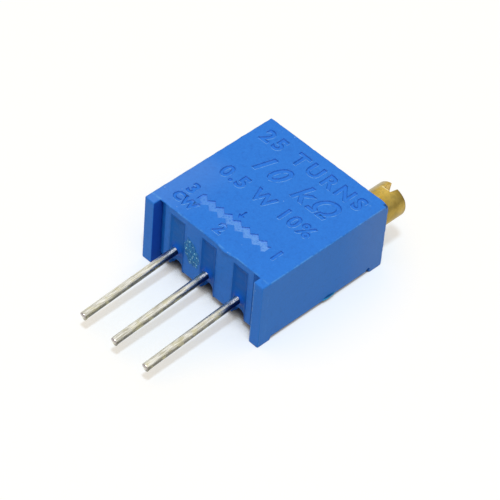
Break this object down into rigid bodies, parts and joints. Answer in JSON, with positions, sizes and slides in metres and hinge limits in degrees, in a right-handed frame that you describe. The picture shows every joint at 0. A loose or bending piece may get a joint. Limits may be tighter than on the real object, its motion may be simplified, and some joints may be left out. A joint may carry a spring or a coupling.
{
  "type": "multi-turn trimmer potentiometer",
  "caption": "Square blue through-hole trimmer potentiometer with round leads in a row and a slotted brass screw at one corner that turns a worm-driven wiper over a resistive track.",
  "frame": {"origin": "on the surface that the part lies on, under the middle of its box", "axes": "+Z out of the marked face, +Y along the adjusting screw towards its slotted head, +X towards the screw's end face"},
  "size_m": [0.0096, 0.0186, 0.0048],
  "materials": {
    "housing": "moulded satin",
    "resin": "cast gloss",
    "ceramic": "fired matte",
    "resistor_film": "fired film",
    "conductor_film": "fired silver",
    "tinned_wire": "tinned",
    "solder": "bright solder",
    "brass": "turned",
    "rubber": "moulded",
    "clip_steel": "stamped",
    "rotor_plastic": "moulded",
    "wiper_metal": "spring sheet"
  },
  "bodies": {
    "case": {"housing": "housing", "potting_resin": "resin", "substrate": "ceramic", "resistive_track": "resistor_film", "termination_1": "conductor_film", "termination_3": "conductor_film", "collector_print": "conductor_film", "lead_1": "tinned_wire", "lead_2": "tinned_wire", "lead_3": "tinned_wire", "solder_joint_1": "solder", "solder_joint_2": "solder", "solder_joint_3": "solder", "retaining_clip": "clip_steel"},
    "screw": {"adjusting_screw": "brass", "shaft_seal": "rubber"},
    "rotor": {"rotor": "rotor_plastic", "wiper": "wiper_metal"}
  },
  "joints": [
    {"name": "screw_turn", "type": "hinge", "parent": "case", "child": "screw", "pos_m": [0.00349, 0, 0.00333], "axis": [0, 1, 0], "range_deg": [-4500, 4500]},
    {"name": "rotor_turn", "type": "hinge", "parent": "case", "child": "rotor", "pos_m": [0, 0.00266, 0], "axis": [0, 0, 1], "range_deg": [-150, 150]}
  ],
  "couplings": [
    {"joint": "rotor_turn", "follows": "screw_turn", "ratio": -0.033333}
  ]
}
